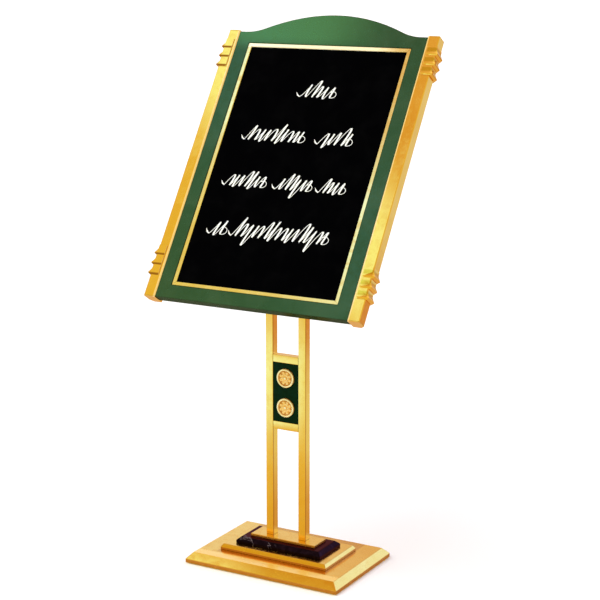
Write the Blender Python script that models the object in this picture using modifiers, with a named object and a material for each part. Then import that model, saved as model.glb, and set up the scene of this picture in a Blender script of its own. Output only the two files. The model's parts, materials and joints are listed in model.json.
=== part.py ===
"""Display easel: a tilting framed board on two posts over a stepped base.

Frame: origin at the centre of the underside, +Z up, +X along the width, front towards -Y.
Lengths in metres. The board is drawn in its own frame (x across, y depth towards the back,
z up along the board) and is then laid back by BOARD_TILT.
"""
import bpy
import bmesh
import math
from mathutils import Matrix, Vector

GAP = 0.0003

# Base pad and stacked plates
PAD_W, PAD_D, PAD_T, PAD_CORNER = 0.428, 0.283, 0.0020, 0.008
BASE_W, BASE_D, BASE_SIDE, BASE_TOP, BASE_RUN = 0.440, 0.295, 0.0097, 0.0285, 0.0156
POCKET_W, POCKET_D, POCKET_DEPTH = 0.122, 0.104, 0.0182
POCKET_PITCH_X, POCKET_Y = 0.134, 0.0705
STEP_W, STEP_D, STEP_SIDE, STEP_T, STEP_RUN = 0.309, 0.163, 0.0062, 0.0145, 0.0060
STEP_POCKET_W, STEP_POCKET_D, STEP_POCKET_DEPTH, STEP_POCKET_X = 0.080, 0.122, 0.0085, 0.098
STONE_W, STONE_D, STONE_SIDE, STONE_T, STONE_RUN = 0.247, 0.111, 0.0070, 0.0160, 0.0105
CAP_W, CAP_D, CAP_SIDE, CAP_T, CAP_RUN = 0.188, 0.060, 0.0056, 0.0065, 0.0009

# Posts and what joins them
POST_X, POST_W, POST_D, POST_WALL, POST_BEVEL = 0.04715, 0.0205, 0.0240, 0.0020, 0.0012
BAR_D, BAR_RECESS = 0.0200, 0.0005
LOWER_BAR_Z, UPPER_BAR_Z = (0.3530, 0.3736), (0.5285, 0.5480)
PANEL_T, PANEL_RECESS = 0.0060, 0.0015
ROSETTE_R, ROSETTE_T, ROSETTE_PITCH, ROSETTE_PETALS = 0.0248, 0.0056, 0.0772, 8
PLUG_H, BOLT_R, BOLT_HEAD_R, BOLT_HEAD_H = 0.030, 0.004, 0.0075, 0.0060
BOLT_HOLE_R, COUNTERBORE_R, COUNTERBORE_H = 0.0045, 0.0090, 0.0100

# Board, in its own frame
BOARD_TILT = math.radians(33.4)
FRAME_HALF, FRAME_T, SHOULDER, PEAK = 0.2690, 0.0260, 0.7520, 0.8070
ARCH_BLEND, ARCH_END = 0.195, 0.250
OPEN_HALF, OPEN_LOW, OPEN_HIGH, FRAME_BEVEL = 0.2332, 0.0350, 0.7202, 0.0030
TRIM_W, TRIM_FRONT, TRIM_BACK, TRIM_BEVEL = 0.0105, 0.0010, 0.0037, 0.0010
SHEET_FRONT, SHEET_BACK = 0.0040, 0.0090
BACKING_FRONT, BACKING_BACK = 0.0093, 0.0257

# Side rails
RAIL_IN, RAIL_OUT, RAIL_FRONT, RAIL_SIDE, RAIL_BACK = 0.2693, 0.3014, -0.0030, 0.0266, 0.0366
RAIL_WALL, RAIL_LOW, RAIL_HIGH, RAIL_CAP_T = 0.0015, 0.0005, 0.7525, 0.0020
FLARE_PITCH, FLARE_THIN, FLARE_WIDE, FLARE_FRONT = 0.0269, 0.0011, 0.0078, 0.0024
UPPER_FLARE_FOOT, LOWER_FLARE_FOOT, FLARE_INSET = 0.6465, 0.0555, 0.0085
# One flare: height over its foot, then how far its side and its front stand out, thin (0) to full (1)
FLARE_PROFILE = ((0.0, 0.25, 0.0), (0.0030, 0.88, 0.0), (0.0050, 1.0, 1.0), (0.0098, 0.58, 1.0),
                 (0.0165, 0.06, 1.0), (FLARE_PITCH - GAP, 0.0, 1.0))

# Tilt pivot: its height over the floor, then its place behind and along the board
PIVOT_HEIGHT, PIVOT_DEPTH, PIVOT_ALONG = 0.8894, 0.0580, 0.2579
ROD_R, ROD_BORE_R, ROD_HALF = 0.0050, 0.00505, 0.0880
HEAD_SPIGOT = 0.030
WASHER_R, WASHER_T, LUG_T, LUG_R, LUG_FOOT = 0.0125, 0.0030, 0.0060, 0.0140, 0.0340
PLATE_HALF_W, PLATE_HALF_L, PLATE_T = 0.0950, 0.0550, 0.0040
SCREW_X, SCREW_ALONG, SCREW_R, SCREW_HEAD_R, SCREW_HEAD_H = 0.0800, 0.0420, 0.0020, 0.0045, 0.0026
KNOB_R, KNOB_HUB_R, KNOB_T, KNOB_LOBES, KNOB_BORE_DEPTH = 0.0200, 0.0095, 0.0280, 7, 0.0227

# Turn buttons on the back of the stiles
BUTTON_X, BUTTON_ALONG = 0.2500, (0.150, 0.600)
BUTTON_REACH, BUTTON_HALF_W, BUTTON_T = 0.0280, 0.0065, 0.0025
BUTTON_BORE_R, BUTTON_SCREW_R, BUTTON_HEAD_R, BUTTON_HEAD_H = 0.00180, 0.00175, 0.0040, 0.0024

PIVOT = Vector((0.0, 0.0, PIVOT_HEIGHT))
BOARD_FRAME = (Matrix.Translation(PIVOT) @ Matrix.Rotation(-BOARD_TILT, 4, "X")
               @ Matrix.Translation((0.0, -PIVOT_DEPTH, -PIVOT_ALONG)))
SIDES = (("left", -1), ("right", 1))
# Lays a prism down: its outline goes to the YZ plane and its height to X
LAID = Matrix(((0, 0, 1, 0), (1, 0, 0, 0), (0, 1, 0, 0), (0, 0, 0, 1)))


def clear_scene():
    for obj in list(bpy.data.objects):
        bpy.data.objects.remove(obj, do_unlink=True)


def collection(name):
    made = bpy.data.collections.new(name)
    bpy.context.scene.collection.children.link(made)
    return made


def material(name, colour, roughness, metallic):
    made = bpy.data.materials.new(name)
    made.use_nodes = True
    shader = made.node_tree.nodes["Principled BSDF"]
    shader.inputs["Base Color"].default_value = (*colour, 1.0)
    shader.inputs["Roughness"].default_value = roughness
    shader.inputs["Metallic"].default_value = metallic
    return made


def add(name, bm, look, place=None, origin=(0.0, 0.0, 0.0)):
    """Store a bmesh, drawn in the frame `place`, as an object whose origin is `origin`."""
    bmesh.ops.recalc_face_normals(bm, faces=bm.faces)
    mesh = bpy.data.meshes.new(name)
    bm.to_mesh(mesh)
    bm.free()
    if place is not None:
        mesh.transform(place)
    origin = Vector(origin)
    mesh.transform(Matrix.Translation(-origin))
    obj = bpy.data.objects.new(name, mesh)
    obj.location = origin
    if look is None:
        CUTTERS.objects.link(obj)
        obj.hide_render = True
        obj.display_type = "WIRE"
    else:
        mesh.materials.append(MATERIALS[look])
        EASEL.objects.link(obj)
    return obj


def box_bm(low, high):
    bm = bmesh.new()
    low, high = Vector(low), Vector(high)
    size = high - low
    place = Matrix.Translation((low + high) / 2) @ Matrix.Diagonal((*size, 1.0))
    bmesh.ops.create_cube(bm, size=1.0, matrix=place)
    return bm


def prism_bm(outlines, low, high):
    """Closed prism over a 2D outline (and hole outlines), from height low to high along +Z."""
    data = bpy.data.curves.new("outline", "CURVE")
    data.dimensions = "2D"
    data.fill_mode = "BOTH"
    data.extrude = (high - low) / 2
    for points in outlines:
        spline = data.splines.new("POLY")
        spline.points.add(len(points) - 1)
        for point, (x, y) in zip(spline.points, points):
            point.co = (x, y, 0.0, 1.0)
        spline.use_cyclic_u = True
    holder = bpy.data.objects.new("outline", data)
    mesh = bpy.data.meshes.new_from_object(holder)
    bm = bmesh.new()
    bm.from_mesh(mesh)
    bpy.data.objects.remove(holder)
    bpy.data.curves.remove(data)
    bpy.data.meshes.remove(mesh)
    bmesh.ops.remove_doubles(bm, verts=bm.verts, dist=1e-6)
    bmesh.ops.translate(bm, verts=bm.verts, vec=(0.0, 0.0, (low + high) / 2))
    return bm


def lathe_bm(profile, steps=48):
    """Solid of revolution about +Z from a profile of (radius, height)."""
    bm = bmesh.new()
    verts = [bm.verts.new((radius, 0.0, height)) for radius, height in profile]
    edges = [bm.edges.new(pair) for pair in zip(verts, verts[1:])]
    if profile[0][0] > 0.0:
        edges.append(bm.edges.new((verts[-1], verts[0])))
    bmesh.ops.spin(bm, geom=verts + edges, cent=(0, 0, 0), axis=(0, 0, 1),
                   angle=math.tau, steps=steps, use_merge=True)
    bmesh.ops.remove_doubles(bm, verts=bm.verts, dist=1e-6)
    return bm


def aim(axis, at):
    """Place that sends +Z to `axis` and the origin to `at`."""
    return Matrix.Translation(at) @ Vector(axis).to_track_quat("Z", "Y").to_matrix().to_4x4()


def soften(obj, width, segments=2, angle=30.0):
    bevel = obj.modifiers.new("soft_edges", "BEVEL")
    bevel.width = width
    bevel.segments = segments
    bevel.limit_method = "ANGLE"
    bevel.angle_limit = math.radians(angle)
    return obj


def combine(obj, tool, operation="DIFFERENCE"):
    change = obj.modifiers.new(operation.lower(), "BOOLEAN")
    change.operation = operation
    change.solver = "EXACT"
    change.object = tool
    return obj


def drill(obj, name, radius, axis, start, length, place=None, steps=24):
    bm = lathe_bm([(0.0, length), (radius, length), (radius, 0.0), (0.0, 0.0)], steps)
    frame = aim(axis, start)
    if place is not None:
        frame = place @ frame
    return combine(obj, add(name, bm, None, frame))


def chamfered_slab(name, width, depth, side, rise, run, foot, look):
    """Slab with an upright side and a sloping top margin: the top face is raised and drawn in."""
    bm = box_bm((-width / 2, -depth / 2, foot), (width / 2, depth / 2, foot + side))
    top = [face for face in bm.faces if face.normal.z > 0.5]
    made = bmesh.ops.extrude_face_region(bm, geom=top)["geom"]
    bmesh.ops.delete(bm, geom=top, context="FACES_ONLY")
    for vert in [item for item in made if isinstance(item, bmesh.types.BMVert)]:
        vert.co.x -= math.copysign(run, vert.co.x)
        vert.co.y -= math.copysign(run, vert.co.y)
        vert.co.z += rise
    return add(name, bm, look)


def rounded_rectangle(width, depth, radius, steps=6):
    points = []
    for corner, (sx, sy) in enumerate(((1, 1), (-1, 1), (-1, -1), (1, -1))):
        cx, cy = sx * (width / 2 - radius), sy * (depth / 2 - radius)
        for step in range(steps + 1):
            angle = math.pi / 2 * (corner + step / steps)
            points.append((cx + radius * math.cos(angle), cy + radius * math.sin(angle)))
    return points


def offset_path(points, distance):
    """Points of an open path moved by `distance` to its right-hand side."""
    moved = []
    for index, point in enumerate(points):
        normals = []
        for first, second in ((index - 1, index), (index, index + 1)):
            if 0 <= first and second < len(points):
                run = Vector(points[second]) - Vector(points[first])
                normals.append(Vector((run.y, -run.x)).normalized())
        if len(normals) == 2:
            mean = (normals[0] + normals[1]).normalized()
            mean /= mean.dot(normals[0])
        else:
            mean = normals[0]
        moved.append(tuple(Vector(point) + mean * distance))
    return moved


def build_base():
    pad = prism_bm([rounded_rectangle(PAD_W, PAD_D, PAD_CORNER)], 0.0, PAD_T)
    add("base_pad", pad, "pad_rubber")

    foot = PAD_T + GAP
    base = chamfered_slab("base_plate", BASE_W, BASE_D, BASE_SIDE, BASE_TOP - foot - BASE_SIDE,
                          BASE_RUN, foot, "gold_plate")
    soften(base, 0.0010)
    for row, side_y in (("front", -1), ("back", 1)):
        for column in (-1, 0, 1):
            x, y = column * POCKET_PITCH_X, side_y * POCKET_Y
            tool = box_bm((x - POCKET_W / 2, y - POCKET_D / 2, 0.0),
                          (x + POCKET_W / 2, y + POCKET_D / 2, foot + POCKET_DEPTH))
            combine(base, add(f"base_pocket_{row}_{column + 2}", tool, None))

    step_foot = BASE_TOP + GAP
    step = chamfered_slab("step_plate", STEP_W, STEP_D, STEP_SIDE, STEP_T - STEP_SIDE,
                          STEP_RUN, step_foot, "gold_plate")
    soften(step, 0.0007)
    for side, sign in SIDES:
        x = sign * STEP_POCKET_X
        tool = box_bm((x - STEP_POCKET_W / 2, -STEP_POCKET_D / 2, BASE_TOP - 0.001),
                      (x + STEP_POCKET_W / 2, STEP_POCKET_D / 2, step_foot + STEP_POCKET_DEPTH))
        combine(step, add(f"step_pocket_{side}", tool, None))

    stone_foot = step_foot + STEP_T + GAP
    stone = chamfered_slab("stone_plinth", STONE_W, STONE_D, STONE_SIDE, STONE_T - STONE_SIDE,
                           STONE_RUN, stone_foot, "dark_stone")
    soften(stone, 0.0012)
    cap_foot = stone_foot + STONE_T + GAP
    cap = chamfered_slab("cap_plate", CAP_W, CAP_D, CAP_SIDE, CAP_T - CAP_SIDE,
                         CAP_RUN, cap_foot, "gold_plate")
    soften(cap, 0.0004)

    post_foot = cap_foot + CAP_T + GAP
    for side, sign in SIDES:
        x = sign * POST_X
        drill(base, f"base_counterbore_{side}", COUNTERBORE_R, (0, 0, 1), (x, 0, foot - 0.001),
              COUNTERBORE_H + 0.001, steps=32)
        for plate, name in ((base, "base"), (step, "step"), (stone, "stone"), (cap, "cap")):
            drill(plate, f"{name}_bolt_hole_{side}", BOLT_HOLE_R, (0, 0, 1), (x, 0, 0), 0.08)
    return post_foot, foot


def build_post(side, sign, foot, base_foot):
    x = sign * POST_X
    top = PIVOT.z - POST_D / 2 - 0.004
    outer = [(x + px, py) for px, py in rounded_rectangle(POST_W, POST_D, POST_BEVEL, 4)]
    bore_w, bore_d = POST_W - 2 * POST_WALL, POST_D - 2 * POST_WALL
    inner = [(x + px, py) for px, py in rounded_rectangle(bore_w, bore_d, 0.0006, 2)]
    add(f"post_{side}", prism_bm([outer, inner], foot, top), "gold_post")

    fit_w, fit_d = bore_w / 2 - GAP, bore_d / 2 - GAP
    plug = add(f"post_plug_{side}", box_bm((x - fit_w, -fit_d, foot + GAP),
                                           (x + fit_w, fit_d, foot + GAP + PLUG_H)), "steel")
    soften(plug, 0.0008)
    drill(plug, f"plug_hole_{side}", BOLT_HOLE_R, (0, 0, 1), (x, 0, foot - 0.001), 0.025)

    seat = base_foot + COUNTERBORE_H - GAP
    reach = foot + 0.021
    profile = [(0.0, reach), (BOLT_R - 0.0008, reach), (BOLT_R, reach - 0.0008), (BOLT_R, seat),
               (BOLT_HEAD_R, seat), (BOLT_HEAD_R, seat - BOLT_HEAD_H + 0.001),
               (BOLT_HEAD_R - 0.001, seat - BOLT_HEAD_H), (0.0, seat - BOLT_HEAD_H)]
    bolt = add(f"tie_bolt_{side}", lathe_bm(profile, 32), "steel", Matrix.Translation((x, 0, 0)))
    bolt_foot = seat - BOLT_HEAD_H
    socket = lathe_bm([(0.0, bolt_foot + 0.0035), (0.0035, bolt_foot + 0.0035),
                       (0.0035, bolt_foot - 0.001), (0.0, bolt_foot - 0.001)], 6)
    combine(bolt, add(f"bolt_socket_{side}", socket, None, Matrix.Translation((x, 0, 0))))

    outline = [(-POST_D / 2, top + GAP), (POST_D / 2, top + GAP)]
    for step in range(25):
        angle = math.pi * step / 24
        outline.append((POST_D / 2 * math.cos(angle), PIVOT.z + POST_D / 2 * math.sin(angle)))
    head = add(f"post_head_{side}", prism_bm([outline], x - POST_W / 2, x + POST_W / 2),
               "gold_post", LAID)
    soften(head, 0.0006)
    spigot = box_bm((x - fit_w, -fit_d, top - HEAD_SPIGOT), (x + fit_w, fit_d, top + 0.003))
    combine(head, add(f"head_spigot_{side}", spigot, None), "UNION")
    drill(head, f"head_bore_{side}", ROD_BORE_R, (1, 0, 0), (x - 0.02, 0, PIVOT.z), 0.04, steps=48)


def build_crossbars():
    half = POST_X - POST_W / 2 - GAP
    front = -POST_D / 2 + BAR_RECESS
    for name, (low, high) in (("lower", LOWER_BAR_Z), ("upper", UPPER_BAR_Z)):
        bar = box_bm((-half, front, low), (half, front + BAR_D, high))
        soften(add(f"crossbar_{name}", bar, "gold_post"), 0.0008)
    face = -POST_D / 2 + PANEL_RECESS
    low, high = LOWER_BAR_Z[1] + GAP, UPPER_BAR_Z[0] - GAP
    panel = add("post_panel", box_bm((-half, face, low), (half, face + PANEL_T, high)), "dark_panel")
    soften(panel, 0.0006)
    centre = (low + high) / 2
    for name, sign in (("lower", -1), ("upper", 1)):
        build_rosette(name, Vector((0.0, face - GAP, centre + sign * ROSETTE_PITCH / 2)))


def build_rosette(name, centre):
    """Round boss with a raised rim and a flower relief; petals rise and fall with the angle."""
    rim = [(0.0, 0.0046), (0.0016, 0.0045), (0.0030, 0.0039), (0.0040, 0.0030)]
    petal_radii = [0.0052 + 0.0016 * step for step in range(9)]
    petals = [(radius, 0.0026) for radius in petal_radii]
    rim += petals
    rim += [(0.0194, 0.0026), (0.0203, 0.0042), (0.0214, 0.0052), (0.0226, ROSETTE_T),
            (0.0238, 0.0050), (0.0246, 0.0038), (ROSETTE_R, 0.0022), (ROSETTE_R, 0.0), (0.0, 0.0)]
    bm = lathe_bm(rim, 48)
    for vert in bm.verts:
        radius = math.hypot(vert.co.x, vert.co.y)
        if 0.0045 < radius < 0.0189 and vert.co.z > 0.001:
            along = (radius - 0.0045) / 0.0144
            across = abs(math.cos(ROSETTE_PETALS / 2 * math.atan2(vert.co.y, vert.co.x)))
            swell = math.sin(math.pi * along ** 0.8)
            vert.co.z += 0.0028 * swell * max(0.0, across - 0.35 * along) - 0.0006 * (1 - across)
    add(f"rosette_{name}", bm, "gold_relief", aim((0, -1, 0), centre))


def arch_height(x):
    """Top edge of the board: a shallow crown that flows into level shoulders."""
    reach = abs(x)
    crown = (PEAK - SHOULDER) / (ARCH_BLEND * ARCH_END)
    if reach <= ARCH_BLEND:
        return PEAK - crown * reach ** 2
    blend = crown * ARCH_BLEND / (ARCH_END - ARCH_BLEND)
    return SHOULDER + blend * max(0.0, ARCH_END - reach) ** 2


def stand_up(outline_bm):
    """Turn a prism drawn in XY so that its outline lies in the board's XZ plane."""
    bmesh.ops.rotate(outline_bm, verts=outline_bm.verts, cent=(0, 0, 0),
                     matrix=Matrix.Rotation(math.pi / 2, 3, "X"))
    return outline_bm


def board_part(name, bm, look):
    return add(name, bm, look, BOARD_FRAME, PIVOT)


def build_frame():
    steps = 64
    arch = []
    for step in range(steps + 1):
        x = ARCH_END - 2 * ARCH_END * step / steps
        arch.append((x, arch_height(x)))
    outline = [(-FRAME_HALF, OPEN_HIGH), (FRAME_HALF, OPEN_HIGH), (FRAME_HALF, SHOULDER)]
    outline += arch + [(-FRAME_HALF, SHOULDER)]
    top = board_part("frame_top", stand_up(prism_bm([outline], -FRAME_T, 0.0)), "green_paint")
    soften(top, FRAME_BEVEL, 3)
    low = box_bm((-FRAME_HALF, 0.0, 0.0), (FRAME_HALF, FRAME_T, OPEN_LOW))
    soften(board_part("frame_bottom", low, "green_paint"), FRAME_BEVEL, 3)
    for side, sign in SIDES:
        inner, outer = sorted((sign * OPEN_HALF, sign * FRAME_HALF))
        bm = box_bm((inner, 0.0, OPEN_LOW + GAP), (outer, FRAME_T, OPEN_HIGH - GAP))
        stile = soften(board_part(f"frame_stile_{side}", bm, "green_paint"), FRAME_BEVEL, 3)
        for index, along in enumerate(BUTTON_ALONG, start=1):
            drill(stile, f"button_screw_hole_{side}_{index}", 0.0021, (0, -1, 0),
                  (sign * BUTTON_X, FRAME_T + 0.001, along), 0.015, BOARD_FRAME)


def mitred_strip(name, length, place):
    """Trim strip along +X with its outer edge on y=0; its ends are cut at 45 degrees."""
    section = [(0.0, TRIM_BACK), (0.0, TRIM_FRONT + TRIM_BEVEL), (TRIM_BEVEL, TRIM_FRONT),
               (TRIM_W - TRIM_BEVEL, TRIM_FRONT), (TRIM_W, TRIM_FRONT + TRIM_BEVEL),
               (TRIM_W, TRIM_BACK)]
    bm = prism_bm([section], 0.0, length)
    middle = length / 2
    for vert in bm.verts:
        inward, depth, along = vert.co
        cut = inward + GAP
        vert.co = (along + cut if along < middle else along - cut, inward, depth)
    bmesh.ops.transform(bm, verts=bm.verts, matrix=place)
    return board_part(name, bm, "gold_trim")


def build_trim():
    high, low, half = OPEN_HIGH - GAP, OPEN_LOW + GAP, OPEN_HALF - GAP
    wide, tall = 2 * half, high - low
    to_board = Matrix(((1, 0, 0, 0), (0, 0, 1, 0), (0, 1, 0, 0), (0, 0, 0, 1)))
    strips = (("bottom", wide, (-half, 0, low), 0), ("right", tall, (half, 0, low), 90),
              ("top", wide, (half, 0, high), 180), ("left", tall, (-half, 0, high), 270))
    for name, length, corner, turn in strips:
        spin = Matrix.Rotation(math.radians(-turn), 4, "Y")
        mitred_strip(f"trim_{name}", length, Matrix.Translation(corner) @ spin @ to_board)


def rail_path(sign):
    """Visible outline of a side rail's section: inner front edge, round the outside, to the back."""
    path = [(RAIL_IN, RAIL_FRONT + 0.0025), (RAIL_IN + 0.0025, RAIL_FRONT),
            (RAIL_OUT - 0.0020, RAIL_FRONT), (RAIL_OUT, RAIL_FRONT + 0.0020), (RAIL_OUT, RAIL_SIDE),
            (RAIL_OUT - (RAIL_BACK - RAIL_SIDE), RAIL_BACK), (RAIL_IN, RAIL_BACK)]
    return [(sign * x, y) for x, y in path]


def shrunk_loop(points, distance):
    """Closed convex outline drawn in by `distance`."""
    closed = [points[-1]] + list(points) + [points[0]]
    area = sum(a[0] * b[1] - b[0] * a[1] for a, b in zip(points, points[1:] + points[:1]))
    return offset_path(closed, -math.copysign(distance, area))[1:-1]


def build_rails():
    for side, sign in SIDES:
        outline = rail_path(sign)
        bore = shrunk_loop(outline, RAIL_WALL)
        board_part(f"rail_{side}", prism_bm([outline, bore], RAIL_LOW, RAIL_HIGH), "gold_rail")
        for end, low in (("bottom", RAIL_LOW - GAP - RAIL_CAP_T), ("top", RAIL_HIGH + GAP)):
            lid = prism_bm([outline], low, low + RAIL_CAP_T)
            soften(board_part(f"rail_cap_{end}_{side}", lid, "gold_rail"), 0.0004)
        for level, foot in (("upper", UPPER_FLARE_FOOT), ("lower", LOWER_FLARE_FOOT)):
            board_part(f"rail_collar_{level}_{side}", flared_collar_bm(sign, foot), "gold_rail")


def flared_collar_bm(sign, foot):
    """Sleeve round a rail's front, side and back chamfer: three flares, flat in front over a lip."""
    path = rail_path(1)
    path[0:2] = [(RAIL_IN + FLARE_INSET, RAIL_FRONT)]
    path[-1] = (RAIL_IN + 0.0120, RAIL_BACK)
    inner = offset_path(path, GAP)
    bm = bmesh.new()
    rings = []
    for flare in range(3):
        for rise, swell, rib in FLARE_PROFILE:
            height = foot + flare * FLARE_PITCH + rise
            face = RAIL_FRONT - FLARE_THIN - rib * (FLARE_FRONT - FLARE_THIN)
            outer = offset_path(path, FLARE_THIN + swell * (FLARE_WIDE - FLARE_THIN))
            front = [(x, face) for x, _ in outer[:2]]
            rest = [(x, max(y, face)) for x, y in outer[2:]]
            loop = front + rest + inner[::-1]
            rings.append([bm.verts.new((sign * x, y, height)) for x, y in loop])
    count = len(rings[0])
    for lower, upper in zip(rings, rings[1:]):
        for index in range(count):
            after = (index + 1) % count
            bm.faces.new((lower[index], lower[after], upper[after], upper[index]))
    half = count // 2
    for ring in (rings[0], rings[-1]):
        for index in range(half - 1):
            far = count - 1 - index
            bm.faces.new((ring[index], ring[index + 1], ring[far - 1], ring[far]))
    return bm


def build_panels():
    half, low, high = OPEN_HALF - GAP, OPEN_LOW + GAP, OPEN_HIGH - GAP
    bm = box_bm((-half, SHEET_FRONT, low), (half, SHEET_BACK, high))
    soften(board_part("display_panel", bm, "black_sheet"), 0.0003)
    bm = box_bm((-half, BACKING_FRONT, low), (half, BACKING_BACK, high))
    backing = soften(board_part("backing_board", bm, "plain_wood"), 0.0006)
    plate_front = FRAME_T + GAP
    plate_back = plate_front + PLATE_T
    bm = box_bm((-PLATE_HALF_W, plate_front, PIVOT_ALONG - PLATE_HALF_L),
                (PLATE_HALF_W, plate_back, PIVOT_ALONG + PLATE_HALF_L))
    plate = soften(board_part("hinge_plate", bm, "gold_post"), 0.0010)
    for side, sign in SIDES:
        build_lug(side, sign, plate_back + GAP)
        for level, up in (("lower", -1), ("upper", 1)):
            x, along = sign * SCREW_X, PIVOT_ALONG + up * SCREW_ALONG
            for solid, what in ((plate, "plate"), (backing, "backing")):
                drill(solid, f"{what}_hole_{level}_{side}", SCREW_R + GAP, (0, -1, 0),
                      (x, plate_back + 0.001, along), 0.0170, BOARD_FRAME)
            build_screw(f"hinge_screw_{level}_{side}", SCREW_R, SCREW_HEAD_R, SCREW_HEAD_H, 0.0155,
                        (x, plate_back + GAP, along))


def build_screw(name, radius, head_radius, head_height, length, seat):
    """Slotted pan-head screw, drawn head up; `seat` is the point under its head."""
    profile = [(0.0, head_height), (head_radius * 0.55, head_height * 0.94),
               (head_radius * 0.86, head_height * 0.66), (head_radius, head_height * 0.25),
               (head_radius, 0.0), (radius, 0.0), (radius, 0.0008 - length),
               (radius * 0.5, -length), (0.0, -length)]
    screw = board_part(name, lathe_bm(profile, 20), "steel")
    place = aim((0, 1, 0), seat)
    screw.data.transform(Matrix.Translation(PIVOT).inverted() @ BOARD_FRAME @ place
                         @ BOARD_FRAME.inverted() @ Matrix.Translation(PIVOT))
    reach, half = head_radius * 1.2, head_radius * 0.13
    bm = box_bm((-reach, -half, head_height * 0.45), (reach, half, head_height + 0.001))
    combine(screw, add(f"{name}_slot", bm, None, BOARD_FRAME @ place))


def build_lug(side, sign, foot):
    inner = POST_X + POST_W / 2 + GAP + WASHER_T + GAP
    low, high = sorted((sign * inner, sign * (inner + LUG_T)))
    outline = [(foot, PIVOT_ALONG - LUG_FOOT), (foot + 0.006, PIVOT_ALONG - LUG_FOOT)]
    for step in range(29):
        angle = math.radians(-70 + 140 * step / 28)
        outline.append((PIVOT_DEPTH + LUG_R * math.cos(angle), PIVOT_ALONG + LUG_R * math.sin(angle)))
    outline += [(foot + 0.006, PIVOT_ALONG + LUG_FOOT), (foot, PIVOT_ALONG + LUG_FOOT)]
    bm = prism_bm([outline], low, high)
    bmesh.ops.transform(bm, verts=bm.verts, matrix=LAID)
    lug = soften(board_part(f"hinge_lug_{side}", bm, "gold_post"), 0.0006)
    drill(lug, f"lug_bore_{side}", ROD_BORE_R, (1, 0, 0),
          (sign * inner - 0.02, PIVOT_DEPTH, PIVOT_ALONG), 0.04, BOARD_FRAME, 48)


def build_pivot():
    chamfer = 0.0008
    profile = [(0.0, ROD_HALF), (ROD_R - chamfer, ROD_HALF), (ROD_R, ROD_HALF - chamfer),
               (ROD_R, -ROD_HALF + chamfer), (ROD_R - chamfer, -ROD_HALF), (0.0, -ROD_HALF)]
    add("pivot_rod", lathe_bm(profile, 48), "steel", aim((1, 0, 0), PIVOT), PIVOT)
    for side, sign in SIDES:
        start = POST_X + POST_W / 2 + GAP
        end = start + WASHER_T
        ring = [(WASHER_R - 0.0004, end), (WASHER_R, end - 0.0004), (WASHER_R, start + 0.0004),
                (WASHER_R - 0.0004, start), (ROD_BORE_R, start), (ROD_BORE_R, end)]
        outward = aim((sign, 0, 0), PIVOT)
        add(f"friction_washer_{side}", lathe_bm(ring, 32), "fibre", outward, PIVOT)
        build_knob(side, end + GAP + LUG_T + GAP, outward)


def build_knob(side, foot, outward):
    """Lobed clamp knob with a blind bore for the rod's end."""
    top = foot + KNOB_T
    profile = [(0.0, top), (0.0080, top), (0.0140, top - 0.0006), (0.0180, top - 0.0020),
               (KNOB_R, top - 0.0046), (KNOB_R, top - 0.0110), (0.0188, top - 0.0134),
               (0.0150, top - 0.0150), (0.0118, top - 0.0168), (KNOB_HUB_R, top - 0.0196),
               (KNOB_HUB_R, foot + 0.0008), (KNOB_HUB_R - 0.0008, foot),
               (ROD_BORE_R, foot), (ROD_BORE_R, foot + KNOB_BORE_DEPTH), (0.0, foot + KNOB_BORE_DEPTH)]
    bm = lathe_bm(profile, 8 * KNOB_LOBES)
    for vert in bm.verts:
        radius = math.hypot(vert.co.x, vert.co.y)
        if radius > 0.0105:
            lobe = math.cos(KNOB_LOBES * math.atan2(vert.co.y, vert.co.x))
            share = (radius - 0.0105) / (KNOB_R - 0.0105)
            scale = 1.0 - 0.11 * share * (1.0 - lobe) / 2
            vert.co.x *= scale
            vert.co.y *= scale
    add(f"clamp_knob_{side}", bm, "black_knob", outward, PIVOT)


def build_turn_buttons():
    front = FRAME_T + GAP
    for side, sign in SIDES:
        for index, along in enumerate(BUTTON_ALONG, start=1):
            outline = []
            for step in range(11):
                angle = -math.pi / 2 + math.pi * step / 10
                outline.append((BUTTON_HALF_W * math.cos(angle), BUTTON_HALF_W * math.sin(angle)))
            for step in range(9):
                angle = math.pi / 2 + math.pi * step / 8
                outline.append((-BUTTON_REACH + BUTTON_HALF_W * 0.75 * math.cos(angle),
                                BUTTON_HALF_W * 0.75 * math.sin(angle)))
            outline = [(sign * (BUTTON_X + x), along + z) for x, z in outline]
            centre = BOARD_FRAME @ Vector((sign * BUTTON_X, front, along))
            bm = stand_up(prism_bm([outline], -front - BUTTON_T, -front))
            button = add(f"turn_button_{side}_{index}", bm, "gold_trim", BOARD_FRAME, centre)
            soften(button, 0.0005)
            drill(button, f"button_bore_{side}_{index}", BUTTON_BORE_R, (0, -1, 0),
                  (sign * BUTTON_X, front + 0.005, along), 0.01, BOARD_FRAME, 32)
            build_screw(f"button_screw_{side}_{index}", BUTTON_SCREW_R, BUTTON_HEAD_R, BUTTON_HEAD_H,
                        0.0150, (sign * BUTTON_X, front + BUTTON_T + GAP, along))


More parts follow.
